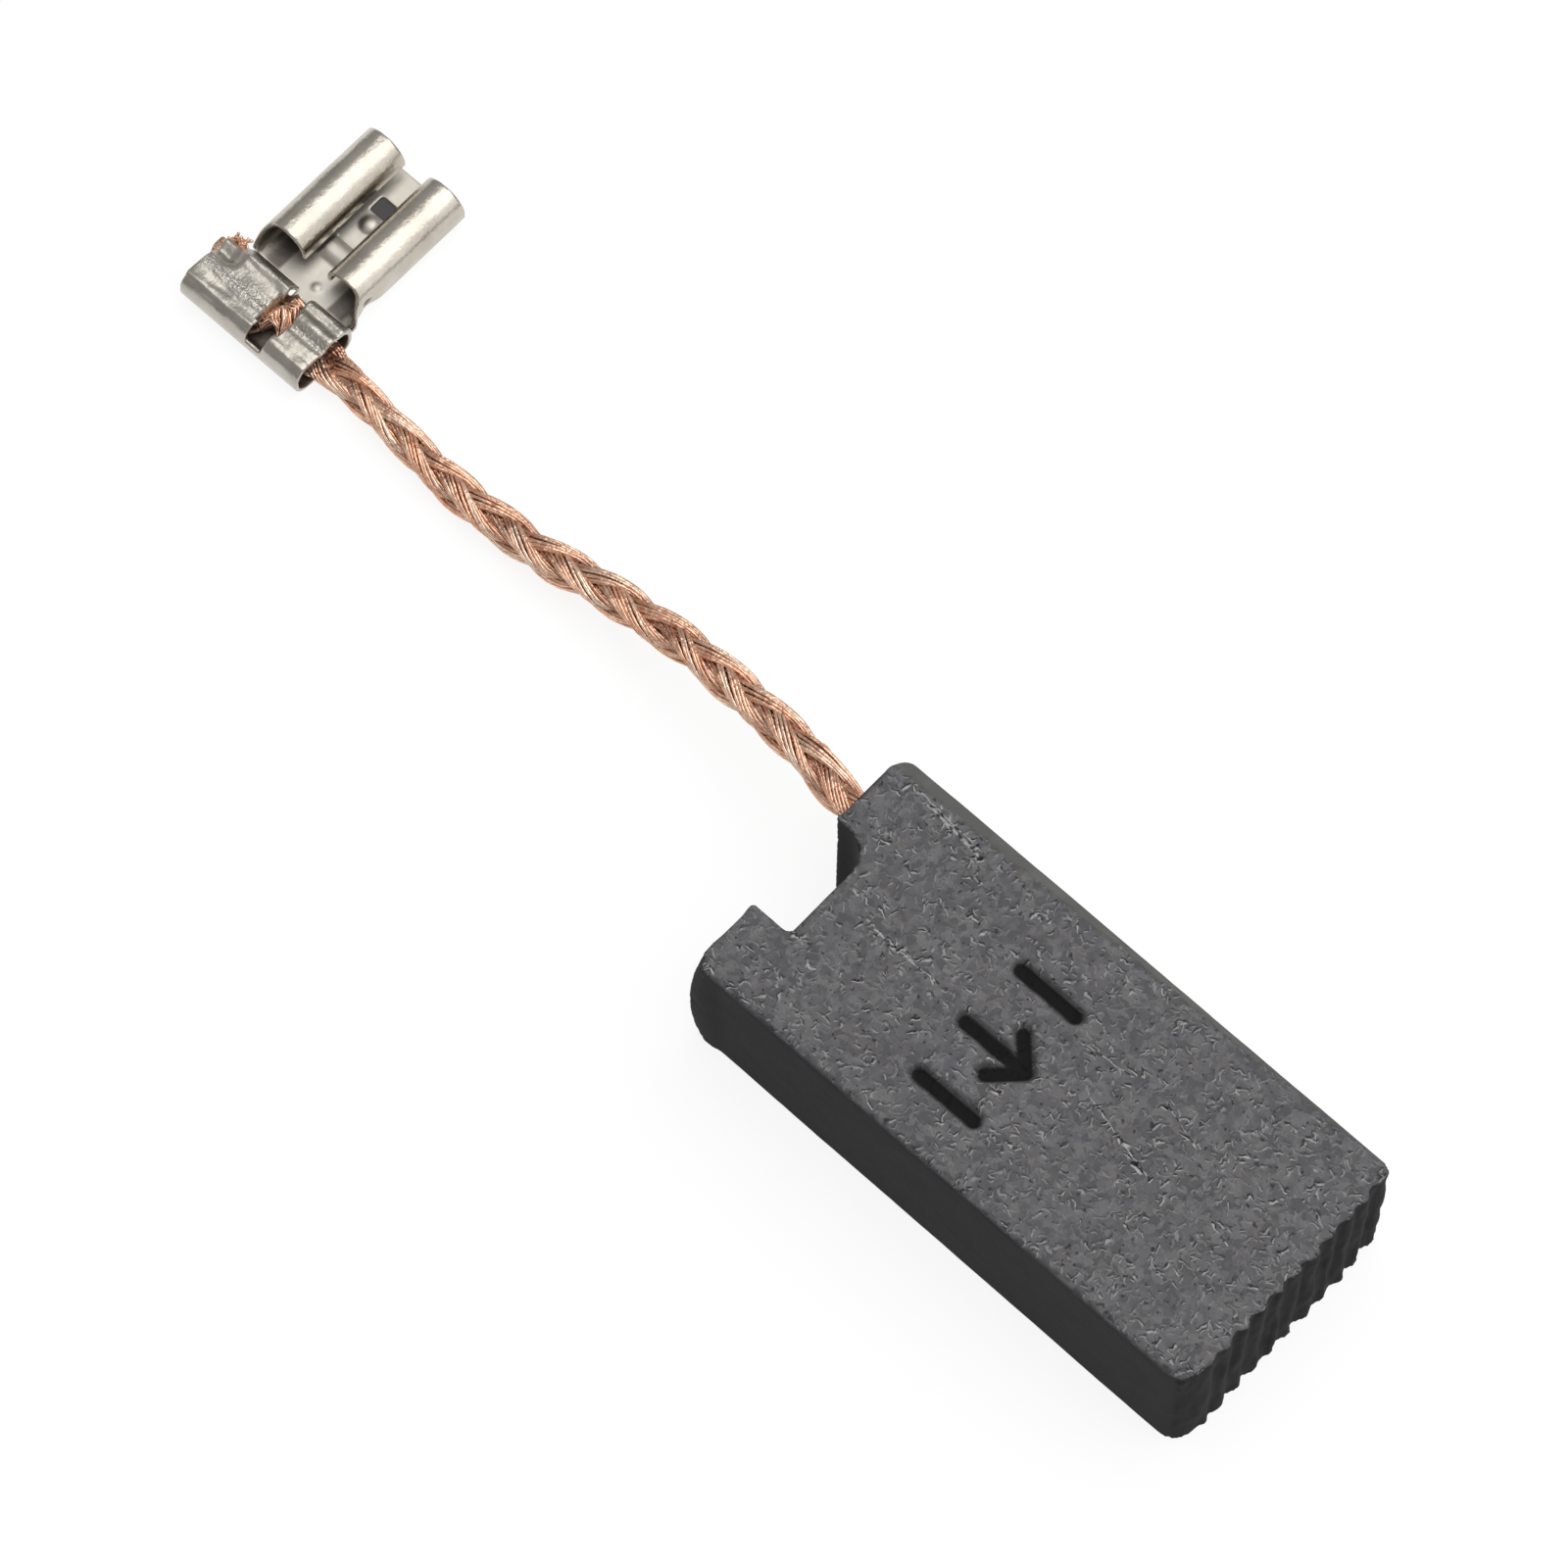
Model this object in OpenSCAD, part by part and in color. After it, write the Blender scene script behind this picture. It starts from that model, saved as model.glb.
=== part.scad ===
/* [Carbon block] */
// Length of the block, from the spring end to the crests of the working face
block_length = 34.3; // [28:0.1:40]
// Width of the block, across its two sliding sides
block_width = 16; // [14:0.5:20]
// Thickness of the block, from the face it lies on to the marked face
block_thickness = 10; // [9:0.5:12.5]
// Radius of the upright corner at the spring end, away from the lead
back_corner_radius = 1.8; // [0.4:0.1:3]
// Radius of the upright corner at the spring end, beside the lead
lead_corner_radius = 0.7; // [0.3:0.1:1]
// Radius of the upright corner at the working end, away from the lead
front_corner_radius = 1.3; // [0.4:0.1:1.5]
// Radius of the upright corner at the working end, on the lead's side
front_lead_corner_radius = 0.6; // [0.2:0.1:0.6]
// Rounding of the top long edge away from the lead
top_edge_radius = 0.5; // [0.1:0.1:1]
// Rounding of the two long edges underneath
bottom_edge_radius = 0.25; // [0.1:0.05:0.6]
// Width of the long bevel over the lead's side, at the spring end
bevel_back = 0.9; // [0.4:0.1:1.2]
// Width of the same bevel at the working end, where it is nearly gone
bevel_front = 0.3; // [0.1:0.1:0.4]

/* [Spring notch] */
// Width of the notch that the brush spring presses in
notch_width = 7.1; // [5:0.1:7.5]
// Depth of the notch
notch_depth = 2.6; // [1.5:0.1:4]
// Width of the ear that holds the lead
lead_ear_width = 5; // [4.4:0.1:5.5]
// Inside corner radius of the notch on the lead's side
notch_lead_radius = 1.8; // [0.2:0.1:2.2]
// Inside corner radius of the notch on the other side
notch_far_radius = 0.45; // [0.2:0.05:1.5]

/* [Working face] */
// Number of running-in grooves across the working face
groove_count = 10; // [4:1:10]
// Distance from one groove to the next
groove_pitch = 1.35; // [0.8:0.05:1.35]
// Depth of a groove
groove_depth = 0.3; // [0.1:0.05:0.6]
// Offset of the row of grooves towards the lead's side
groove_shift = 0.6; // [0:0.1:0.6]
// Place of the crest between two grooves, as a share of the pitch
groove_skew = 0.57; // [0.35:0.01:0.65]

/* [Lead] */
// Diameter of the braided copper lead
lead_diameter = 2; // [1.4:0.1:2.2]
// Distance of the lead's axis from the side face of the block
lead_inset = 2.4; // [2.2:0.1:2.6]
// Length of the lead that is tamped into the block
embedded_length = 7; // [4:0.5:10]
// Diameter of the hole for the lead and its tamping powder
hole_diameter = 3.4; // [3:0.1:3.8]
// Depth of the hole beyond the end of the lead
hole_spare = 0.8; // [0.4:0.1:1.5]
// Distance of the tamped powder below the mouth of the hole
plug_recess = 0.15; // [0.05:0.05:0.5]

/* [Terminal sheet] */
// Thickness of the tinned brass sheet
sheet = 0.28; // [0.25:0.01:0.4]
// Thickness of the flat tab that the receptacle takes
tab_thickness = 0.8; // [0.5:0.1:0.8]
// Width over the two rolls of the receptacle
receptacle_width = 7.5; // [7.4:0.1:8.4]
// Length of the receptacle's floor
receptacle_length = 9.4; // [9:0.1:9.8]
// Distance of the receptacle's middle line from the middle of the barrel
receptacle_shift = 0.2; // [0:0.1:0.4]
// Height of the rolls
roll_height = 2.8; // [2.7:0.1:3]
// Outer radius of the rolls over the top
roll_radius = 1.4; // [1.3:0.05:1.45]
// Flat strip along the top of each roll
roll_flat = 0.1; // [0.05:0.05:0.2]
// Outer radius of the bend from the floor into a roll
floor_bend_radius = 1.1; // [0.8:0.1:1.2]
// Distance from the inner end of the floor to the inner ends of the rolls
roll_inset = 1.3; // [0.8:0.1:1.5]
// Height of the side walls at the inner end of the floor
low_wall = 0.9; // [0.7:0.1:1.2]
// Height at which the side walls' sloping edges reach the rolls
slope_top = 2.4; // [2:0.1:2.6]

/* [Receptacle floor] */
// Width of the window near the mouth, across the floor
window_width = 1.5; // [1:0.1:2]
// Length of the window
window_length = 1.1; // [0.6:0.1:1.4]
// Distance from the mouth to the window
window_inset = 2; // [1.5:0.1:2.4]
// Radius of the round latch bump, seen from above
latch_radius = 0.63; // [0.4:0.01:0.7]
// Height of the latch bump above the floor
latch_height = 0.3; // [0.1:0.05:0.4]
// Distance between the window and the middle of the latch bump
latch_inset = 0.7; // [0.7:0.05:1]
// Width of the pressed-up tab stop
stop_width = 1.9; // [1:0.1:2.4]
// Outer radius of the tab stop's crest
stop_radius = 1; // [0.7:0.1:1.2]
// Height of the tab stop above the floor
stop_height = 0.35; // [0.2:0.05:0.5]
// Distance from the inner end of the floor to the crest of the tab stop
stop_inset = 3.1; // [2.8:0.1:3.4]
// Width of the narrow cut behind the tab stop
slit_width = 0.14; // [0.1:0.02:0.3]
// Radius of the small pilot bump near the neck
pilot_radius = 0.35; // [0.2:0.05:0.5]
// Height of the pilot bump above the floor
pilot_height = 0.1; // [0.05:0.05:0.2]
// Distance from the receptacle's middle line to the pilot bump
pilot_shift = 0.5; // [0.2:0.1:0.8]
// Distance from the inner end of the floor to the pilot bump
pilot_inset = 0.8; // [0.6:0.1:1]

/* [Crimp barrel] */
// Length of the barrel along the strand
barrel_length = 9; // [8:0.1:10]
// Width of the crimped barrel across the strand
barrel_width = 4.5; // [4.2:0.1:4.8]
// Height of the crimped barrel
barrel_height = 2.45; // [2.4:0.05:2.6]
// Outer radius of the barrel's bends
barrel_radius = 1.1; // [1:0.05:1.15]
// Outer radius of the bend where a wing turns down at the seam
seam_radius = 0.5; // [0.45:0.05:0.6]
// Width of the seam between the two wings of a pair
seam_gap = 0.06; // [0.04:0.02:0.2]
// Length of the pair of wings at the cut end of the strand
tail_wing_length = 5; // [4.6:0.1:5.2]
// Width of the opening between the two pairs of wings
wing_gap = 1.2; // [1:0.1:1.6]
// Height of the barrel's wall left standing in that opening
gap_sill = 1.6; // [1.4:0.1:1.8]
// Width of the neck between the barrel and the receptacle
neck_width = 2.3; // [1.8:0.1:2.6]
// Distance of the neck's middle from the middle of the barrel
neck_shift = 1.1; // [0.8:0.1:1.3]
// Distance between the barrel and the receptacle's floor
neck_length = 0.25; // [0.2:0.05:0.6]
// Height of the cuts that free the wings from the neck
neck_cut_height = 1.3; // [1:0.1:1.4]
// Width of the pressed strand inside the barrel
strand_width = 3.2; // [2.8:0.1:3.2]
// Height of the pressed strand inside the barrel
strand_height = 1.2; // [1:0.05:1.2]
// Length of strand that shows past the barrel
strand_tail = 0.5; // [0.2:0.1:1]

/* [Hidden] */

$fn = 48;
eps = 0.02;      // overlap of a cut past the face that it opens
big = 40;        // longer than any cut needs to be
drill_tip = 59;  // half angle of the drilled hole's pointed end

block_back = -block_length / 2;
block_side = block_width / 2;
lead_y = block_side - lead_inset;
lead_z = block_thickness / 2;
hole_depth = embedded_length + hole_spare;

notch_top = block_side - lead_ear_width;
notch_bottom = notch_top - notch_width;

// The terminal's own origin is under the middle of its barrel.
terminal_x = -63.4;
terminal_y = 6.5;
barrel_side = barrel_width / 2;
barrel_end = barrel_length / 2;
receptacle_start = barrel_side + neck_length;
receptacle_end = receptacle_start + receptacle_length;
roll_width = 2 * roll_radius + roll_flat;
gap_start = tail_wing_length - barrel_end;
relief = 0.1;    // clearance beside the neck, where the wings are cut free

window_y = receptacle_end - window_inset - window_length / 2;
latch_y = window_y - window_length / 2 - latch_inset;
stop_y = receptacle_start + stop_inset;

strand_z = sheet + strand_height / 2;

// The lead's free run, from the hole's mouth to the barrel.
free_route = [
    [-20, 5.7, 4.9], [-23, 6.2, 4.7], [-26, 6.6, 4.3], [-29, 6.8, 3.9],
    [-32, 6.9, 3.4], [-35, 6.8, 2.8], [-38, 6.6, 2.3], [-41, 6.2, 1.8],
    [-44, 6, 1.4], [-47, 5.9, 1.2], [-50, 5.9, 1.1], [-53, 6.1, 1.1],
    [-55.5, 6.3, 1.1]
];
mouth_x = terminal_x + barrel_end;
route = concat(
    [[block_back + embedded_length, lead_y, lead_z], [block_back, lead_y, lead_z]],
    free_route,
    [[mouth_x + 0.5, terminal_y, strand_z], [mouth_x - barrel_length - strand_tail, terminal_y, strand_z]]
);
route_last = len(route) - 1;
lead_sides = 8;
// An octagon this much larger than the lead has the lead's own section area.
octagon_r = lead_diameter / 2 * 1.05;
octagon_turn = 180 / lead_sides;

// ---- Two-dimensional helpers ----

// The corner that a fillet of radius r leaves over, with its point at the origin
module spandrel(r) {
    difference() {
        translate([-eps, -eps]) square(r + eps);
        translate([r, r]) circle(r);
    }
}

// A bent strip of sheet of outer radius r, from angle a to angle b
module bend(r, a, b) {
    reach = 3 * r;
    mid = (a + b) / 2;
    intersection() {
        difference() {
            circle(r);
            circle(r - sheet);
        }
        polygon([
            [0, 0],
            reach * [cos(a), sin(a)],
            reach * [cos(mid), sin(mid)],
            reach * [cos(b), sin(b)]
        ]);
    }
}

// Extrudes a profile drawn in X and Z along +Y
module along_y(length) {
    rotate([90, 0, 0]) translate([0, 0, -length]) linear_extrude(length) children();
}

// Extrudes a profile drawn in Y and Z along +X
module along_x(length) {
    rotate([90, 0, 90]) linear_extrude(length) children();
}

// ---- Carbon block ----

// Depth of the grooves at a place u along one pitch, from 0 in a groove to 1 in the next
function groove_wave(u) =
    let (phase = u < groove_skew ? u / groove_skew / 2 : 0.5 + (u - groove_skew) / (1 - groove_skew) / 2)
    groove_depth * (0.5 + 0.5 * cos(360 * phase));

// The grooves start and end on a crest, with a groove at the middle of each pitch.
groove_steps = 8;
groove_span = groove_count * groove_pitch;
groove_points = [
    for (i = [0 : groove_count * groove_steps])
        let (u = i / groove_steps + groove_skew)
        [
            block_length / 2 - groove_wave(u - floor(u)),
            groove_shift - groove_span / 2 + i / groove_steps * groove_pitch
        ]
];

module groove_cuts() {
    polygon(concat(
        [[block_length / 2 + 1, groove_shift - groove_span / 2]],
        groove_points,
        [[block_length / 2 + 1, groove_shift + groove_span / 2]]
    ));
}

module notch_cut() {
    difference() {
        translate([block_back - 1, notch_bottom]) square([notch_depth + 1, notch_width]);
        translate([block_back + notch_depth, notch_top]) rotate(180) spandrel(notch_lead_radius);
        translate([block_back + notch_depth, notch_bottom]) rotate(90) spandrel(notch_far_radius);
    }
}

module block_plan() {
    difference() {
        translate([block_back, -block_side]) square([block_length, block_width]);
        translate([block_back, -block_side]) spandrel(back_corner_radius);
        translate([block_back, block_side]) rotate(-90) spandrel(lead_corner_radius);
        translate([-block_back, -block_side]) rotate(90) spandrel(front_corner_radius);
        translate([-block_back, block_side]) rotate(180) spandrel(front_lead_corner_radius);
        notch_cut();
        groove_cuts();
    }
}

// The block's section across its length, with its rounded long edges
module block_section() {
    difference() {
        translate([-block_side, 0]) square([block_width, block_thickness]);
        translate([-block_side, block_thickness]) rotate(-90) spandrel(top_edge_radius);
        translate([-block_side, 0]) spandrel(bottom_edge_radius);
        translate([block_side, 0]) rotate(90) spandrel(bottom_edge_radius);
    }
}

// The bevel over the lead's side narrows towards the working end.
module long_bevel() {
    narrowing = atan((bevel_back - bevel_front) / block_length);
    translate([block_back, block_side - bevel_back, block_thickness])
        rotate([-45, 0, narrowing])
            translate([-1, -big / 2, 0]) cube([block_length + 2, big, big / 4]);
}

module lead_hole() {
    hole_r = hole_diameter / 2;
    translate([block_back, lead_y, lead_z]) rotate([0, 90, 0]) {
        translate([0, 0, -1]) cylinder(h = hole_depth + 1, r = hole_r);
        translate([0, 0, hole_depth - eps]) cylinder(h = hole_r / tan(drill_tip), r1 = hole_r, r2 = 0);
    }
}

module carbon_block() {
    color([0.36, 0.36, 0.38]) difference() {
        intersection() {
            linear_extrude(block_thickness) block_plan();
            translate([block_back - 1, 0, 0]) along_x(block_length + 2) block_section();
        }
        long_bevel();
        lead_hole();
    }
}

// ---- Tamped powder round the lead's buried end ----

module tamping_plug() {
    plug_r = hole_diameter / 2;
    color([0.45, 0.3, 0.22]) translate([block_back, lead_y, lead_z]) rotate([0, 90, 0]) difference() {
        translate([0, 0, plug_recess]) cylinder(h = hole_depth - plug_recess, r = plug_r);
        rotate(octagon_turn) translate([0, 0, -1])
            cylinder(h = embedded_length + 1, r = octagon_r, $fn = lead_sides);
    }
}

// ---- Lead ----

function unit(v) = v / norm(v);

// The buried end and the pressed end both run straight along X.
function lead_heading(i) =
    i <= 1 || i >= route_last - 1 ? [-1, 0, 0] : unit(route[i + 1] - route[i - 1]);

// Half width and half height of the lead's octagon at a point of the route
function lead_reach(i) =
    i >= route_last - 1
        ? [strand_width, strand_height] / 2 / cos(octagon_turn)
        : [octagon_r, octagon_r];

function lead_ring(i) =
    let (
        heading = lead_heading(i),
        side = unit(cross([0, 0, 1], heading)),
        up = cross(heading, side),
        reach = lead_reach(i)
    )
    [
        for (k = [0 : lead_sides - 1])
            let (a = octagon_turn + 360 * k / lead_sides)
            route[i] + side * reach[0] * cos(a) + up * reach[1] * sin(a)
    ];

module shunt_lead() {
    rings = [for (i = [0 : route_last]) each lead_ring(i)];
    start_cap = [for (k = [0 : lead_sides - 1]) k];
    end_cap = [for (k = [0 : lead_sides - 1]) route_last * lead_sides + lead_sides - 1 - k];
    walls = [
        for (i = [0 : route_last - 1], k = [0 : lead_sides - 1])
            let (
                next = (k + 1) % lead_sides,
                a = i * lead_sides + k,
                b = i * lead_sides + next,
                c = a + lead_sides,
                d = b + lead_sides
            )
            each [[a, c, b], [b, c, d]]
    ];
    color([0.8, 0.5, 0.36]) polyhedron(rings, concat([start_cap, end_cap], walls));
}

// ---- Flag terminal ----

// Half of the receptacle's section: floor, side and roll, ending above the tab
module roll_profile() {
    side = receptacle_width / 2;
    centre_z = roll_height - roll_radius;
    inner_x = side - roll_radius - roll_flat;
    lip_z = sheet + tab_thickness;
    square([side - floor_bend_radius, sheet]);
    translate([side - floor_bend_radius, floor_bend_radius]) bend(floor_bend_radius, -90, 0);
    translate([side - sheet, floor_bend_radius]) square([sheet, centre_z - floor_bend_radius]);
    translate([side - roll_radius, centre_z]) bend(roll_radius, 0, 90);
    translate([inner_x, roll_height - sheet]) square([roll_flat, sheet]);
    translate([inner_x, centre_z]) bend(roll_radius, 90, 180);
    translate([side - roll_width, lip_z]) square([sheet, centre_z - lip_z]);
}

// The rolls start a little past the floor's inner end, and the side walls slope up to them.
module roll_end_cut() {
    flat_half = receptacle_width / 2 - floor_bend_radius;
    roll_start = receptacle_start + roll_inset;
    translate([-flat_half, roll_start - big, sheet]) cube([2 * flat_half, big, big]);
    translate([-big / 2, 0, 0]) along_x(big) polygon([
        [receptacle_start - 1, low_wall],
        [receptacle_start, low_wall],
        [roll_start, slope_top],
        [roll_start, roll_height + 1],
        [receptacle_start - 1, roll_height + 1]
    ]);
}

module floor_window() {
    translate([-window_width / 2, window_y - window_length / 2, -1])
        cube([window_width, window_length, sheet + 2]);
}

// A flat cap of a ball, as wide and as high as a bump pressed into the sheet
module cap(radius, height) {
    ball = (radius * radius + height * height) / (2 * height);
    translate([0, 0, height - ball]) intersection() {
        sphere(ball);
        translate([-big / 2, -big / 2, ball - height - eps]) cube(big);
    }
}

// The tab stop is an arch pressed up across the floor, cut free behind.
module stop_arch() {
    translate([-stop_width / 2, stop_y, sheet + stop_height - stop_radius])
        rotate([0, 90, 0]) cylinder(h = stop_width, r = stop_radius);
}

module stop_hollow() {
    translate([-stop_width / 2 + sheet, stop_y, sheet + stop_height - stop_radius])
        rotate([0, 90, 0]) cylinder(h = stop_width - 2 * sheet, r = stop_radius - sheet);
}

module stop_slit() {
    half_chord = sqrt(stop_radius * stop_radius - pow(stop_radius - stop_height, 2));
    translate([-stop_width / 2, stop_y + half_chord, -1]) cube([stop_width, slit_width, sheet + 2]);
}

// The caps of the latch bump and the pilot bump, with their flat sides at the height z
module bump_caps(z) {
    translate([0, latch_y, z]) cap(latch_radius, latch_height);
    translate([pilot_shift, receptacle_start + pilot_inset, z]) cap(pilot_radius, pilot_height);
}

module receptacle() {
    difference() {
        union() {
            difference() {
                translate([0, receptacle_start, 0]) along_y(receptacle_length) {
                    roll_profile();
                    mirror([1, 0]) roll_profile();
                }
                roll_end_cut();
                floor_window();
                stop_slit();
            }
            bump_caps(sheet);
            intersection() {
                stop_arch();
                translate([-big / 2, -big / 2, 0]) cube(big);
            }
        }
        stop_hollow();
        // Each bump is hollow underneath.
        bump_caps(0);
    }
}

// Half of the barrel's section: base, side, crown, and the wing's end turned down onto the strand
module wing_profile() {
    fold_y = barrel_side - barrel_radius;
    fold_z = barrel_height - barrel_radius;
    seam_y = seam_gap / 2 + seam_radius;
    seam_z = barrel_height - seam_radius;
    strand_top = sheet + strand_height;
    square([fold_y, sheet]);
    translate([fold_y, barrel_radius]) bend(barrel_radius, -90, 0);
    translate([barrel_side - sheet, barrel_radius]) square([sheet, fold_z - barrel_radius]);
    translate([fold_y, fold_z]) bend(barrel_radius, 0, 90);
    translate([seam_y, barrel_height - sheet]) square([fold_y - seam_y, sheet]);
    translate([seam_y, seam_z]) bend(seam_radius, 90, 180);
    translate([seam_gap / 2, strand_top]) square([sheet, seam_z - strand_top]);
}

module barrel() {
    difference() {
        translate([-barrel_end, 0, 0]) along_x(barrel_length) {
            wing_profile();
            mirror([1, 0]) wing_profile();
        }
        // Opening between the two pairs of wings
        translate([gap_start, -big / 2, gap_sill]) cube([wing_gap, big, big]);
        // The wings beside the neck are cut free of it.
        translate([neck_shift - neck_width / 2 - relief, 0, sheet])
            cube([neck_width + 2 * relief, big, neck_cut_height]);
    }
}

module neck() {
    start = barrel_side - barrel_radius;
    translate([neck_shift - neck_width / 2, start, 0])
        cube([neck_width, receptacle_start - start + eps, sheet]);
}

module flag_terminal() {
    color([0.68, 0.66, 0.63]) translate([terminal_x, terminal_y, 0]) {
        translate([receptacle_shift, 0, 0]) receptacle();
        neck();
        barrel();
    }
}

carbon_block();
tamping_plug();
shunt_lead();
flag_terminal();
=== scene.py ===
"""The looks of a carbon brush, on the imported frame: pressed carbon, braided copper and tinned brass"""

import math
import random

import bpy
import numpy as np
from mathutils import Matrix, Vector, noise


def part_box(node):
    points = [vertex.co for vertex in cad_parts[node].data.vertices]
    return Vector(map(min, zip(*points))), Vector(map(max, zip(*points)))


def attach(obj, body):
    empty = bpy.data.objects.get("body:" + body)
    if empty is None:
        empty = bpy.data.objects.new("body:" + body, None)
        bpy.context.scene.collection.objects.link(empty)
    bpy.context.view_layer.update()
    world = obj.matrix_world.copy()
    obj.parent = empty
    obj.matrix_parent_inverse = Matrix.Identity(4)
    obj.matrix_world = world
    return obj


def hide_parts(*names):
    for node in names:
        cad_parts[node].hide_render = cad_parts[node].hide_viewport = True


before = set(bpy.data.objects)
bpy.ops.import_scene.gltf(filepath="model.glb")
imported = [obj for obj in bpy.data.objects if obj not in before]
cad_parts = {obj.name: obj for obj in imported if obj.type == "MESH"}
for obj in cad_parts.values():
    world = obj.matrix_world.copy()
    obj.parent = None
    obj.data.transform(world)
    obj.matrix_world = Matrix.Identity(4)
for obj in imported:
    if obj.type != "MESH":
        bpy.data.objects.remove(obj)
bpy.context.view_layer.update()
MM = 0.001


def box_corners(node):
    """The low and high corners of a CAD node's box, in millimetres"""
    return [Vector(corner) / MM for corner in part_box(node)]


# Places on the object, worked out from the frame
block_low, block_high = box_corners("carbon_block")
terminal_high = box_corners("flag_terminal")[1]
BLOCK_TOP = block_high.z

# How far apart two seeds' parts of the noise lie, and a length that counts as none
SEED_STEPS = (17.3, 5.1, 9.7)
TINY = 1e-6


# ---- Small tools ----


def smoothstep(x):
    """0 below 0, 1 above 1, and a smooth rise between"""
    x = np.clip(x, 0.0, 1.0)
    return x * x * (3 - 2 * x)


def hump(values, middle, width):
    """A smooth hump, 1 high, at the middle"""
    return np.exp(-(((values - middle) / width) ** 2))


def fractal(points, size, seed, octaves=3):
    """Smooth noise from about -1 to 1 at each point; size is the width of its lumps, in millimetres"""
    shift = Vector([seed * step for step in SEED_STEPS])
    return np.array([noise.fractal(Vector(p) / size + shift, 1.0, 2.0, octaves) for p in points])


def new_object(name, vertices, faces):
    """A mesh object from vertices in millimetres and lists of vertex indices"""
    mesh = bpy.data.meshes.new(name)
    mesh.from_pydata([tuple(v * MM for v in p) for p in vertices], [], faces)
    mesh.update()
    obj = bpy.data.objects.new(name, mesh)
    bpy.context.scene.collection.objects.link(obj)
    return obj


def shade_smooth(obj):
    obj.data.polygons.foreach_set("use_smooth", [True] * len(obj.data.polygons))


def remeshed_copy(node, name, voxel, smoothing=0):
    """A copy of a CAD node's mesh, rebuilt as an even net of small faces and smoothed a few times"""
    obj = bpy.data.objects.new(name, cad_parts[node].data.copy())
    obj.data.materials.clear()
    bpy.context.scene.collection.objects.link(obj)
    weld = obj.modifiers.new("weld", "WELD")
    weld.merge_threshold = TINY
    remesh = obj.modifiers.new("remesh", "REMESH")
    remesh.mode = "VOXEL"
    remesh.voxel_size = voxel * MM
    if smoothing:
        smooth = obj.modifiers.new("smooth", "SMOOTH")
        smooth.factor = 0.5
        smooth.iterations = smoothing
    graph = bpy.context.evaluated_depsgraph_get()
    finished = bpy.data.meshes.new_from_object(obj.evaluated_get(graph))
    obj.modifiers.clear()
    obj.data = finished
    return obj


def read_mesh(obj):
    """The vertices and their normals, as arrays; the vertices are in millimetres"""
    count = len(obj.data.vertices)
    places, normals = np.zeros(count * 3), np.zeros(count * 3)
    obj.data.vertices.foreach_get("co", places)
    obj.data.vertices.foreach_get("normal", normals)
    return places.reshape(-1, 3) / MM, normals.reshape(-1, 3)


def write_mesh(obj, places):
    obj.data.vertices.foreach_set("co", (places * MM).ravel())
    obj.data.update()


def paint(obj, name, values):
    """Stores one number a vertex, for the material to read"""
    layer = obj.data.attributes.new(name, "FLOAT", "POINT")
    layer.data.foreach_set("value", np.asarray(values, np.float32))


# ---- Camera ----

VIEW_TARGET = Vector((-23.444, 5.598, 0.0)) * MM
VIEW_AZIMUTH = math.radians(42.805)
VIEW_ELEVATION = math.radians(67.347)
VIEW_DISTANCE = 0.4292


def make_camera():
    data = bpy.data.cameras.new("camera")
    data.sensor_width = 36.0
    data.lens = 182.0
    data.clip_start = 0.01
    data.clip_end = 20.0
    camera = bpy.data.objects.new("camera", data)
    away = Vector(
        (
            math.sin(VIEW_AZIMUTH) * math.cos(VIEW_ELEVATION),
            -math.cos(VIEW_AZIMUTH) * math.cos(VIEW_ELEVATION),
            math.sin(VIEW_ELEVATION),
        )
    )
    camera.location = VIEW_TARGET + VIEW_DISTANCE * away
    camera.rotation_euler = away.to_track_quat("Z", "Y").to_euler()
    bpy.context.scene.collection.objects.link(camera)
    bpy.context.scene.camera = camera


# ---- Lead ----

# The route repeats the one that the CAD tube follows.
LEAD_EXIT = (-17.15, 5.6, 5)
LEAD_ROUTE = [
    (-16, 5.6, 5), LEAD_EXIT,
    (-20, 5.7, 4.9), (-23, 6.2, 4.7), (-26, 6.6, 4.3), (-29, 6.8, 3.9),
    (-32, 6.9, 3.4), (-35, 6.8, 2.8), (-38, 6.6, 2.3), (-41, 6.2, 1.8),
    (-44, 6, 1.4), (-47, 5.9, 1.2), (-50, 5.9, 1.1), (-53, 6.1, 1.1),
    (-55.5, 6.3, 1.1), (-58.4, 6.5, 0.88), (-68.4, 6.5, 0.88),
]
RING_STEP = 0.36
STEPS_BETWEEN_POINTS = 24

# Four strands run each way round the braid, in waves, over two others and then under two.
STRANDS = 8
BRAID_PITCH = 16.0
BRAID_TURN = math.radians(20)
STRAND_RADIUS = 0.59
STRAND_WEAVE = 0.21
WEAVE_FLATNESS = 1.4

# The wires lie round the middle of their strand, as a flat ring, and twist about it.
WIRES_A_STRAND = 11
WIRE_RADIUS = 0.112
WIRE_SIDES = 6
STRAND_ACROSS = 0.44
STRAND_THROUGH = 0.23
TWIST_PITCH = 14.0
WIRE_WANDER = 0.05

# A wire is painted darker where it lies deep in the braid, as shade, and a little less where the crimp has
# crushed it.
BRAID_OUTSIDE = 1.0
SHADE_DEPTH = 0.6
CRUSHED_LESS_SHADE = 0.6

# Along X: the barrel's mouth, the gap between its two pairs of wings, and the strand's tail
MOUTH_X = -58.9
GAP_FROM, GAP_TO = -62.9, -61.7
TAIL_X = -66.6

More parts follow.
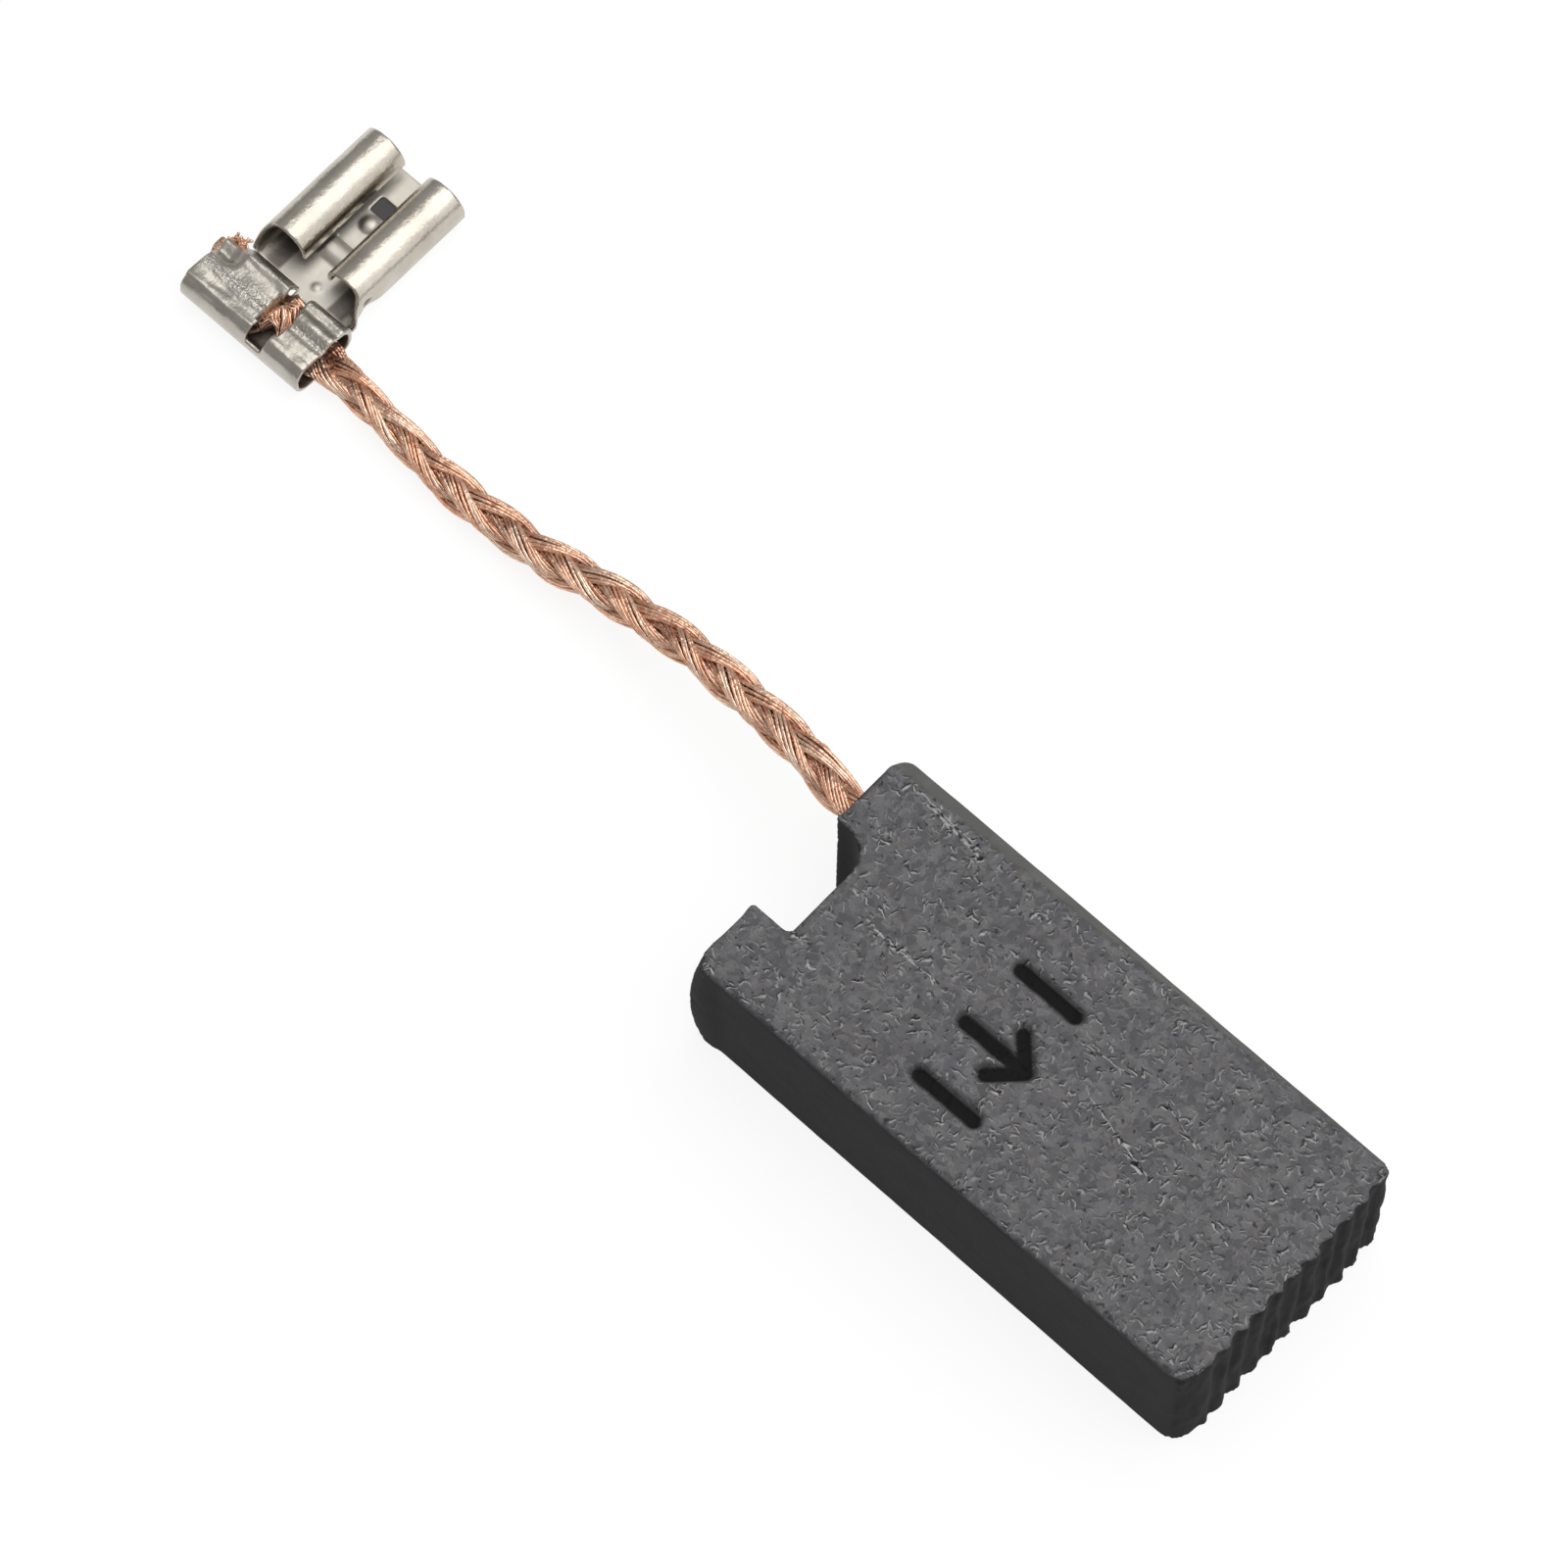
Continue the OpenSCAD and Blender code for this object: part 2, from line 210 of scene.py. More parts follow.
# The lead's section as half width, half height, shift across and lift: where it is round, and what is added
# to that where it is pressed flat, crushed in the gap, a loose tail, narrowed at the mouth and bowed
ROUND_SECTION = np.array([1.05, 1.02, 0.0, 0.0])
PRESSED_SECTION = np.array([0.45, -0.52, 0.0, 0.0])
CRUSHED_SECTION = np.array([-0.35, 0.4, 0.75, 0.36])
TAIL_SECTION = np.array([-1.0, -0.1, 1.25, 0.0])
MOUTH_SECTION = np.array([-0.18, 0.0, 0.12, 0.0])
BOWED_SECTION = np.array([0.0, 0.0, 0.2, 0.0])
BOW_X = -22.0

# How the crushed wires are bent in the gap: the width of a lump, and for each axis a seed and the most
# that a wire moves
CRUSH_LUMP = 0.75
CRUSH_MOVES = ((11, 0.3), (12, 0.22), (13, 0.3))

# The cut ends stand out behind the barrel, mostly upwards.
CUT_WIRES = 30
CUT_MIDDLE = (-67.3, 8.5, 1.5)
CUT_SPREAD = (0.28, 0.2, 0.12)
CUT_HEADINGS = ((-0.8, 0.8), (-0.3, 0.6), (0.0, 0.8))
CUT_LENGTHS = (0.2, 0.45)
CUT_BEND = 1.2
CUT_BEND_SHARE = 0.45
CUT_RADIUS = 0.09
CUT_RINGS = 7
# How much painted shade the cut ends have
CUT_SHADE = 0.15
CUT_UPRIGHT = (0.31, 0.2, 0.93)


def smooth_route(points, step):
    """Points a step apart along a smooth curve through the given ones"""
    points = [np.array(p, float) for p in points]
    ends = [2 * points[0] - points[1], *points, 2 * points[-1] - points[-2]]
    fine = []
    for a, b, c, d in zip(ends, ends[1:], ends[2:], ends[3:]):
        for t in np.linspace(0, 1, STEPS_BETWEEN_POINTS, endpoint=False):
            fine.append(
                0.5
                * (
                    2 * b
                    + (c - a) * t
                    + (2 * a - 5 * b + 4 * c - d) * t**2
                    + (3 * b - a - 3 * c + d) * t**3
                )
            )
    fine = np.array(fine + [points[-1]])
    along = np.concatenate([[0], np.cumsum(np.linalg.norm(np.diff(fine, axis=0), axis=1))])
    stations = np.linspace(0, along[-1], int(round(along[-1] / step)) + 1)
    return np.stack([np.interp(stations, along, fine[:, i]) for i in range(3)], 1), stations


def crushed_share(x):
    """1 in the gap between the two pairs of wings, where the strand is crushed and nothing covers it"""
    return smoothstep((x - GAP_FROM + 0.3) / 0.5) * smoothstep((GAP_TO + 0.3 - x) / 0.5)


def lead_section(x):
    """Half width, half height, shift and lift of the lead along X: round, and pressed flat in the barrel"""
    changes = [
        (PRESSED_SECTION, smoothstep((MOUTH_X + 2.6 - x) / 3.0)),
        (CRUSHED_SECTION, crushed_share(x)),
        (TAIL_SECTION, smoothstep((TAIL_X - x) / 1.3)),
        (MOUTH_SECTION, smoothstep((x + 60.5) / 1.5) * smoothstep((-47.5 - x) / 5)),
        (BOWED_SECTION, hump(x, BOW_X, 2.5)),
    ]
    section = ROUND_SECTION[:, None]
    for change, share in changes:
        section = section + change[:, None] * share
    return section


def side_and_up(centre, upright):
    """Directions to the side of a line and up from it, at each of its points"""
    ahead = np.gradient(centre, axis=0)
    ahead /= np.linalg.norm(ahead, axis=1)[:, None]
    side = np.cross(ahead, upright)
    side /= np.linalg.norm(side, axis=1)[:, None]
    return side, np.cross(side, ahead)


def sweep(centre, side, up, offsets, radius, sides):
    """Vertices of a thin tube whose middle runs at the given offsets from the centre line"""
    middle = centre + offsets[:, :1] * side + offsets[:, 1:] * up
    angles = np.arange(sides) * 2 * math.pi / sides
    rings = (
        middle[:, None, :]
        + radius * np.cos(angles)[None, :, None] * side[:, None, :]
        + radius * np.sin(angles)[None, :, None] * up[:, None, :]
    )
    return rings.reshape(-1, 3)


def tube_faces(rings, sides, first):
    """Quads between rings of vertices, and a cap at each end"""
    faces = []
    for i in range(rings - 1):
        for j in range(sides):
            a = first + i * sides + j
            b = first + i * sides + (j + 1) % sides
            faces.append((a, b, b + sides, a + sides))
    faces.append(tuple(first + j for j in reversed(range(sides))))
    faces.append(tuple(first + (rings - 1) * sides + j for j in range(sides)))
    return faces


def strand_path(strand, along, draw):
    """Angle and radius, round the braid's own middle, of one strand: over two others, then under two"""
    hand = 1 if strand < STRANDS // 2 else -1
    index = strand % (STRANDS // 2)
    crossing = BRAID_PITCH / STRANDS
    if hand > 0:
        over_at = crossing * (0.5 if index % 2 == 0 else 2.5)
    else:
        over_at = crossing * (1.5 if index % 2 == 0 else -0.5)
    drift = 0.5 * np.sin(along / draw.uniform(5, 9) + draw.uniform(0, 6))
    turned = hand * 2 * math.pi * (along + 0.5 * drift) / BRAID_PITCH
    angle = BRAID_TURN + index * math.pi / 2 + turned
    wave = np.cos(2 * math.pi * (along - over_at + drift) / (BRAID_PITCH / 2))
    weave = np.tanh(WEAVE_FLATNESS * wave) / math.tanh(WEAVE_FLATNESS)
    ripple = 0.03 * np.sin(along / draw.uniform(2, 4) + draw.uniform(0, 6))
    return angle, STRAND_RADIUS + STRAND_WEAVE * weave + ripple


def crumple(places, share):
    """Moves for the wires where the crimp has crushed them and nothing covers them"""
    moves = np.zeros_like(places)
    crushed = share > 0.01
    for axis, (seed, most) in enumerate(CRUSH_MOVES):
        moves[crushed, axis] = most * fractal(places[crushed], CRUSH_LUMP, seed, 2)
    return moves * share[:, None]


def make_cut_ends():
    """Short ends of wire that stand out behind the barrel, where the strand was cut"""
    draw = random.Random(3)
    vertices, faces = [], []
    for number in range(CUT_WIRES):
        start = Vector([c + draw.uniform(-r, r) for c, r in zip(CUT_MIDDLE, CUT_SPREAD)])
        heading = Vector([draw.uniform(low, high) for low, high in CUT_HEADINGS]).normalized()
        bend = Vector([draw.uniform(-1, 1) for _ in range(3)]) * CUT_BEND
        length = draw.uniform(*CUT_LENGTHS)
        centre = np.array(
            [
                start + heading * (length * t) + bend * (length * CUT_BEND_SHARE * t * t)
                for t in np.linspace(0, 1, CUT_RINGS)
            ]
        )
        side, up = side_and_up(centre, CUT_UPRIGHT)
        on_centre = np.zeros((CUT_RINGS, 2))
        vertices.append(sweep(centre, side, up, on_centre, CUT_RADIUS, WIRE_SIDES))
        faces.extend(tube_faces(CUT_RINGS, WIRE_SIDES, number * CUT_RINGS * WIRE_SIDES))
    ends = new_object("cut_wires", np.concatenate(vertices), faces)
    paint(ends, "wire_tone", [draw.random() for _ in ends.data.vertices])
    paint(ends, "wire_shade", [CUT_SHADE] * len(ends.data.vertices))
    shade_smooth(ends)
    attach(ends, "root")
    return ends


def make_lead():
    """The braid: eight strands of fine wires, woven over two and under two"""
    draw = random.Random(7)
    centre, along = smooth_route(LEAD_ROUTE, RING_STEP)
    side, up = side_and_up(centre, [0, 0, 1.0])
    wide, high, shift, lift = lead_section(centre[:, 0])
    vertices, faces, tones, shades = [], [], [], []

    def add_wire(across, above, tone, depth):
        offsets = np.stack([across * wide + shift, above * high + lift], 1)
        first = sum(len(v) for v in vertices)
        vertices.append(sweep(centre, side, up, offsets, WIRE_RADIUS, WIRE_SIDES))
        faces.extend(tube_faces(len(centre), WIRE_SIDES, first))
        tones.append(np.full(len(centre) * WIRE_SIDES, tone))
        shades.append(np.repeat(depth, WIRE_SIDES))

    for strand in range(STRANDS):
        angle, radius = strand_path(strand, along, draw)
        out = np.stack([np.cos(angle), np.sin(angle)], 1)
        round_it = np.stack([-np.sin(angle), np.cos(angle)], 1)
        middle = out * radius[:, None]
        turn = draw.uniform(0, 6)
        for wire in range(WIRES_A_STRAND):
            share = wire / WIRES_A_STRAND + draw.uniform(-0.012, 0.012)
            wander = WIRE_WANDER * np.sin(along / draw.uniform(1.2, 3.5) + draw.uniform(0, 6))
            at = 2 * math.pi * (share + along / TWIST_PITCH) + turn + wander * 2
            grow = 1 + draw.uniform(-0.05, 0.04) + 0.6 * wander
            place = (
                middle
                + round_it * (STRAND_ACROSS * grow * np.cos(at))[:, None]
                + out * (STRAND_THROUGH * grow * np.sin(at))[:, None]
            )
            # How deep the wire lies in the braid sets its painted shade.
            depth = np.clip((BRAID_OUTSIDE - np.linalg.norm(place, axis=1)) / SHADE_DEPTH, 0, 1)
            add_wire(place[:, 0], place[:, 1], draw.random(), depth)
    vertices = np.concatenate(vertices)
    vertices += crumple(vertices, crushed_share(vertices[:, 0]))
    lead = new_object("braided_lead", vertices, faces)
    # Crushed wires get less painted shade.
    less_shaded = 1 - CRUSHED_LESS_SHADE * crushed_share(vertices[:, 0])
    paint(lead, "wire_tone", np.concatenate(tones))
    paint(lead, "wire_shade", np.concatenate(shades) * less_shaded)
    shade_smooth(lead)
    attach(lead, "root")
    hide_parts("shunt_lead")
    return lead, centre


# ---- Pressed carbon block ----

BLOCK_VOXEL = 0.155

# A generic mark: an arrow towards the working face between two bars; each stroke is x, y to x, y.
MARK_STROKES = [
    (-4.4, -4.6, -0.6, -4.6),
    (-4.6, -0.8, -0.4, -0.8),
    (-1.9, 0.7, -0.4, -0.8),
    (-1.9, -2.3, -0.4, -0.8),
    (-4.4, 3.3, -0.6, 3.3),
]
# A stroke's half width at its floor and at its edge, and its depth
MARK_FLOOR = 0.3
MARK_EDGE = 0.72
MARK_DEPTH = 0.45


def stroke_distance(places, stroke):
    """Distance of each point from the straight line that a stroke of the mark follows, seen from above"""
    start, end = np.array(stroke[:2]), np.array(stroke[2:])
    run = end - start
    share = np.clip(((places[:, :2] - start) @ run) / (run @ run), 0, 1)
    return np.linalg.norm(places[:, :2] - start - share[:, None] * run, axis=1)


# The two back corners: the solids' radius of the one behind the wide side, and the radius that the one on
# the lead's side wears down to. The higher the power, the squarer the first.
CORNER_RADIUS = 1.8
LEAD_CORNER_RADIUS = 1.15
SQUARENESS = 7
CORNER_GROWTH = 0.17
SIDE_GROWTH = 0.26

# The ear between the wide side and the notch, and the long bevel's width at either end
EAR_Y = -4.1
EAR_GROWTH = 0.6
NOTCH_X = -14.5
BEVEL_BACK, BEVEL_FRONT = 0.9, 0.3

# Height or depth of each kind of roughness
LUMPS = 0.018
WAVES = 0.03
CHIPPED_TOP_EDGE = 0.24
CHIPPED_EDGE = 0.06
GROOVE_ROUGHNESS = 0.16
GROOVE_SINK = 0.02
BEVEL_SMOOTHER = 0.8


def bevel_width(x):
    share = np.clip((block_high.x - x) / (block_high.x - block_low.x), 0, 1)
    return BEVEL_FRONT + (BEVEL_BACK - BEVEL_FRONT) * share


def bevel_share(places):
    """1 on the long bevel over the lead's side"""
    wander = 0.1 * fractal(places, 0.5, 6, 2)
    inside = smoothstep(
        (places[:, 1] - block_high.y + 0.85 * bevel_width(places[:, 0]) - 0.05 + wander) / 0.2
    )
    return inside * smoothstep((places[:, 2] - BLOCK_TOP + 1.1) / 0.1)


def fuller_corner(x, y, z):
    """Moves in X and Y that make the corner behind the wide side nearly square, and fuller below the top"""
    away_x = np.clip(block_low.x + CORNER_RADIUS - x, 0, None)
    away_y = np.clip(block_low.y + CORNER_RADIUS - y, 0, None)
    distance = np.maximum(np.hypot(away_x, away_y), TINY)
    both = (away_x > 0) & (away_y > 0)
    powers = (away_x / distance) ** SQUARENESS + (away_y / distance) ** SQUARENESS
    stretch = np.maximum(powers, TINY) ** (-1 / SQUARENESS) - 1
    full = hump(z, 4.5, 4.5)
    grow = np.where(both, stretch, 0) * (1 - 0.3 * smoothstep((z - 7.5) / 2.5))
    grow += CORNER_GROWTH * full * away_x * away_y
    side = SIDE_GROWTH * np.clip((-4 - y) / 3.5, 0, 1) * smoothstep((-15.5 - x) / 1.5) * full
    return -(grow * away_x + side), -grow * away_y


def rounder_corner(x, y):
    """Moves in X and Y that make the corner on the lead's side rounder"""
    off_x = np.clip(block_low.x + LEAD_CORNER_RADIUS - x, 0, None)
    off_y = np.clip(y - block_high.y + LEAD_CORNER_RADIUS, 0, None)
    distance = np.maximum(np.hypot(off_x, off_y), TINY)
    shrink = np.clip(LEAD_CORNER_RADIUS / distance, 0, 1) - 1
    return -shrink * off_x, shrink * off_y


def worn_shape(places):
    """Moves from the solids' plain form to the pressed block's: corners, a wider ear, a flatter bevel"""
    x, y, z = places.T
    moves = np.zeros_like(places)
    for move_x, move_y in (fuller_corner(x, y, z), rounder_corner(x, y)):
        moves[:, 0] += move_x
        moves[:, 1] += move_y

    rising = smoothstep((y - block_low.y) / (EAR_Y - block_low.y))
    falling = 1 - smoothstep((y - EAR_Y) / 1.5)
    ear = np.where(y < EAR_Y, rising, falling)
    moves[:, 1] += EAR_GROWTH * ear * (1 - smoothstep((x - NOTCH_X) / 1.5))
    # The notch is a little shallower and narrower than its plain form.
    in_notch = smoothstep((y + 5) / 0.6) * smoothstep((3.6 - y) / 0.4) * smoothstep((-13 - x) / 1)
    moves[:, 0] -= 0.08 * in_notch + 0.07 * smoothstep((y - 2) / 1) * smoothstep((-15.5 - x) / 1)

    # The bevel slopes less than 45 degrees, and the side below it stands out a little.
    drop = BLOCK_TOP - z
    width = bevel_width(x)
    near = smoothstep((y - 6.6) / 0.4)
    moves[:, 2] += near * 0.6 * drop * smoothstep((3 - drop) / (3 - width))
    moves[:, 1] += (0.08 + 0.12 * width) * smoothstep((y - 7.3) / 0.6)
    moves[:, 1] -= 0.13 * smoothstep((-7.3 - y) / 0.6)
    # The grooved face stands out a little, and most in its middle.
    middle = smoothstep((7 - np.abs(y)) / 1.5)
    moves[:, 0] += (0.12 + 0.16 * middle) * smoothstep((x - 15.5) / 1.2)
    return moves


def mark_share(places, lumps):
    """1 in the strokes of the pressed mark, as seen from above"""
    pressed = np.zeros(len(places))
    for stroke in MARK_STROKES:
        away = stroke_distance(places, stroke) + 0.03 * lumps
        pressed = np.maximum(pressed, 1 - smoothstep((away - MARK_FLOOR) / (MARK_EDGE - MARK_FLOOR)))
    return pressed


def make_block():
    block = remeshed_copy("carbon_block", "pressed_block", BLOCK_VOXEL)
    places, normals = read_mesh(block)
    facing = np.abs(normals).max(1)
    edge = smoothstep((0.96 - facing) / 0.16)
    top = smoothstep((normals[:, 2] - 0.45) / 0.35) * (places[:, 2] > BLOCK_TOP - 1.5)
    under = smoothstep((-normals[:, 2] - 0.45) / 0.35) * (places[:, 2] < 1.5)
    grooved = smoothstep((places[:, 0] - block_high.x + 0.9) / 0.4) * (1 - top) * (1 - under)
    slanting = smoothstep((normals[:, 2] - 0.3) / 0.2) * smoothstep((normals[:, 1] - 0.3) / 0.2)
    bevel = bevel_share(places) * slanting
    to_rim = np.minimum(places[:, 1] - block_low.y, block_high.x - places[:, 0])
    rim = smoothstep(1 - to_rim / 1.3) * top

    lumps = fractal(places, 0.9, 1, 3)
    waves = fractal(places, 5.0, 2, 2)
    chips = np.clip(fractal(places, 0.55, 3, 2) - 0.02, 0, 1)
    drawn = fractal(places * [1, 1, 0.25], 0.8, 4, 2)
    high_edge = edge * smoothstep((places[:, 2] - BLOCK_TOP + 1.2) / 0.8)
    off = LUMPS * lumps * (0.4 + top) + WAVES * waves
    off -= CHIPPED_TOP_EDGE * chips * high_edge
    off -= CHIPPED_EDGE * chips * edge
    off += grooved * (GROOVE_ROUGHNESS * drawn - GROOVE_SINK)
    pressed = mark_share(places, lumps) * top
    places += normals * (off * (1 - BEVEL_SMOOTHER * bevel))[:, None]
    places[:, 2] -= MARK_DEPTH * pressed
    places += worn_shape(places)
    places[:, 2] = np.maximum(places[:, 2], 0)
    write_mesh(block, places)

    paint(block, "flaky", np.clip(top + under, 0, 1) * (1 - bevel))
    paint(block, "bevel", bevel)
    paint(block, "rim", rim)
    paint(block, "pressed", pressed)
    paint(block, "edge", edge)
    paint(block, "grooved", grooved)
    shade_smooth(block)
    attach(block, "root")
    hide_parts("carbon_block")
    return block


# ---- Terminal ----

TERMINAL_VOXEL = 0.085
TERMINAL_SMOOTHING = 3

# The receptacle's middle, the two rolls' axes and inner radius, and where the neck begins
RECEPTACLE_X = -63.2
ROLL_AXIS = 2.35
ROLL_Z = 1.4
ROLL_INNER = 1.27
NECK_Y = 9.0

# Where the wings meet, and how much of the open seam is filled
SEAM_Y = 6.5
SEAM_FLOOR = 2.3
SEAM_FILL = 0.75

# The strand's middle in the barrel, for telling the sheet's inside from its outside
STRAND_Y = (5.2, 7.8)
STRAND_Z = 1.15

# The crimp's ridges and furrows run along the strand, and differ between the two pairs of wings:
# height, place along Y and half width of each
TAIL_RIDGES = [
    (0.06, 4.95, 0.2),
    (-0.1, 5.55, 0.35),
    (0.05, 6.3, 0.3),
    (-0.14, 7.25, 0.45),
    (0.09, 8.05, 0.2),
]
LEAD_RIDGES = [
    (0.05, 4.95, 0.2),
    (-0.08, 5.6, 0.35),
    (-0.12, 6.55, 0.3),
    (0.12, 7.25, 0.3),
    (-0.16, 7.85, 0.25),
]
DRAWN_LINES = 0.06
DENTS = 0.05
CORNER_SINK = 0.55


def ridge_height(y, ridges):
    return sum(height * hump(y, middle, width) for height, middle, width in ridges)


def make_terminal():
    terminal = remeshed_copy("flag_terminal", "formed_terminal", TERMINAL_VOXEL, TERMINAL_SMOOTHING)
    places, normals = read_mesh(terminal)
    # These three are views, so they follow each move below.
    x, y, z = places.T
    wings = smoothstep((NECK_Y - y) / 0.25) * smoothstep((z - 0.8) / 0.9)
    tail = smoothstep((-62.3 - x) / 0.4)
    corner = smoothstep((-65.9 - x) / 1.1) * smoothstep((y - 6.5) / 0.9)
    drawn = fractal(places * [0.3, 1.5, 0.4], 0.8, 21, 3)
    dents = fractal(places, 1.6, 22, 2)
    lift = tail * ridge_height(y, TAIL_RIDGES) + (1 - tail) * ridge_height(y, LEAD_RIDGES)
    lift = lift + DRAWN_LINES * drawn + DENTS * dents - CORNER_SINK * corner

    # The wings meet in a shallow valley, not in an open seam.
    in_seam = smoothstep((0.55 - np.abs(y - SEAM_Y)) / 0.3) * wings * (z > 1.2) * (z < SEAM_FLOOR)
    in_gap = smoothstep((x - GAP_FROM + 0.25) / 0.1) * smoothstep((GAP_TO + 0.25 - x) / 0.1)
    places[:, 2] += SEAM_FILL * in_seam * (1 - in_gap) * (SEAM_FLOOR - z)
    # What is left of the wings' tips in the gap lies under the strand.
    tips = in_gap * smoothstep((1.0 - np.abs(y - SEAM_Y)) / 0.1) * (z > 0.55)
    places[:, 2] -= 0.92 * tips * (z - 0.45)
    rolls = smoothstep((y - NECK_Y - 1) / 0.5) * smoothstep((z - 0.9) / 0.8)
    places[:, 2] += wings * lift + rolls * 0.025 * fractal(places, 2.0, 23, 3)
    places[:, 0] += wings * 0.08 * fractal(places, 0.9, 24, 2)

    # On the lead's side the sheet narrows behind the roll and widens again to the barrel.
    outer = smoothstep((x + 60.4) / 0.6) * smoothstep((y - 8.8) / 0.2) * smoothstep((2.2 - z) / 0.8)
    places[:, 0] += outer * (0.35 * smoothstep((9.9 - y) / 0.7) - 0.22 * hump(y, 10.7, 0.6))
    places[:, 0] = np.minimum(places[:, 0], terminal_high.x)
    places[:, 2] = np.clip(places[:, 2], 0, terminal_high.z)
    write_mesh(terminal, places)

    # Inside the rolls and inside the barrel the sheet is painted dark as shade, and on the flat floor it
    # looks different.
    from_axis = np.hypot(np.abs(x - RECEPTACLE_X) - ROLL_AXIS, z - ROLL_Z)
    in_rolls = smoothstep((ROLL_INNER - from_axis) / 0.08) * smoothstep((y - NECK_Y) / 0.3)
    to_strand = np.stack([0 * x, np.clip(y, *STRAND_Y) - y, STRAND_Z - z], 1)
    to_strand /= np.maximum(np.linalg.norm(to_strand, axis=1), 0.2)[:, None]
    faces_strand = smoothstep((normals * to_strand).sum(1) / 0.4 - 0.3)
    inner = np.maximum(in_rolls, faces_strand * smoothstep((NECK_Y - 0.4 - y) / 0.3))
    plate = smoothstep((y - NECK_Y + 0.3) / 0.3) * smoothstep((1.3 - z) / 0.3) * (1 - inner)
    ridge_y = np.where(tail > 0.5, 6.3, 6.65)
    # Along the crimp's ridges the sheet is scuffed, and gets painted glints.
    scuffs_and_glints = wings * (hump(y, ridge_y, 0.35) + 0.5 * hump(y, 8.25, 0.2)) * (1 - corner)
    paint(terminal, "crimped", wings)
    paint(terminal, "inner", inner)
    paint(terminal, "plate", plate * smoothstep((2.4 - np.abs(x - RECEPTACLE_X)) / 0.3))
    paint(terminal, "scuffs_and_glints", scuffs_and_glints)
    shade_smooth(terminal)
    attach(terminal, "root")
    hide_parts("flag_terminal")
    return terminal


# ---- Materials ----


